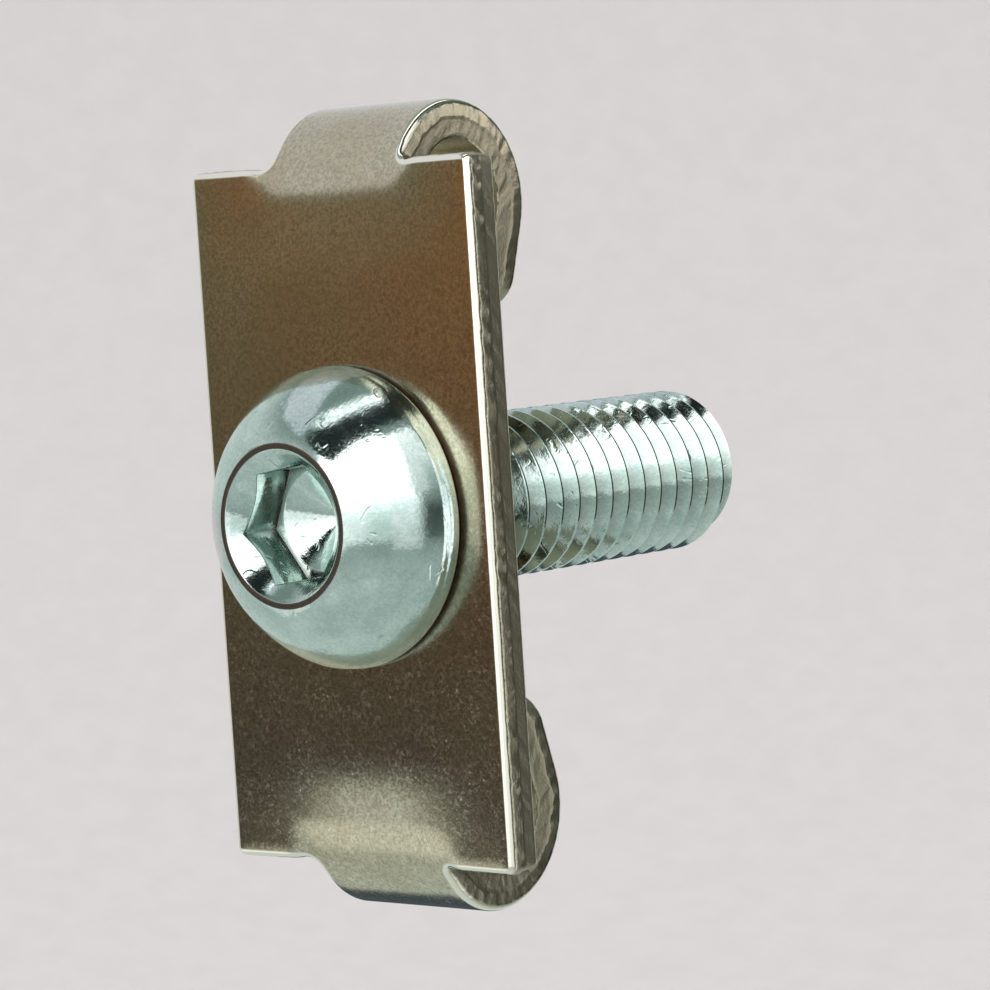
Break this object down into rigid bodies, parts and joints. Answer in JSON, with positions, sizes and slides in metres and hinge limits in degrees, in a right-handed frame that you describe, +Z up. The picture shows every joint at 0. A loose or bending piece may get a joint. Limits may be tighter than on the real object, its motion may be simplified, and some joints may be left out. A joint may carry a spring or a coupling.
{
  "type": "extrusion end fastener",
  "caption": "Formed steel clamp plate with hooked locating tabs and a button head socket screw, which fixes the end of a slotted profile against a crossing one.",
  "frame": {"origin": "on the screw's axis, in the plate's back face, where its shoulders clamp", "axes": "+X to the right as seen from the screw's head, +Y along the screw away from its head, +Z up along the plate's length"},
  "size_m": [0.017, 0.0294, 0.0372],
  "materials": {
    "nickel_plated_steel": "satin nickel plate on stamped sheet steel, warm brown where it mirrors the dark",
    "zinc_plated_steel": "bright bluish zinc plate on a cold headed screw"
  },
  "bodies": {
    "plate": {"clamp_plate": "nickel_plated_steel"},
    "screw": {"button_head_screw": "zinc_plated_steel"}
  },
  "joints": [
    {"name": "screw_turn", "type": "hinge", "parent": "plate", "child": "screw", "pos_m": [0, 0, 0], "axis": [0, 1, 0], "continuous": true}
  ]
}
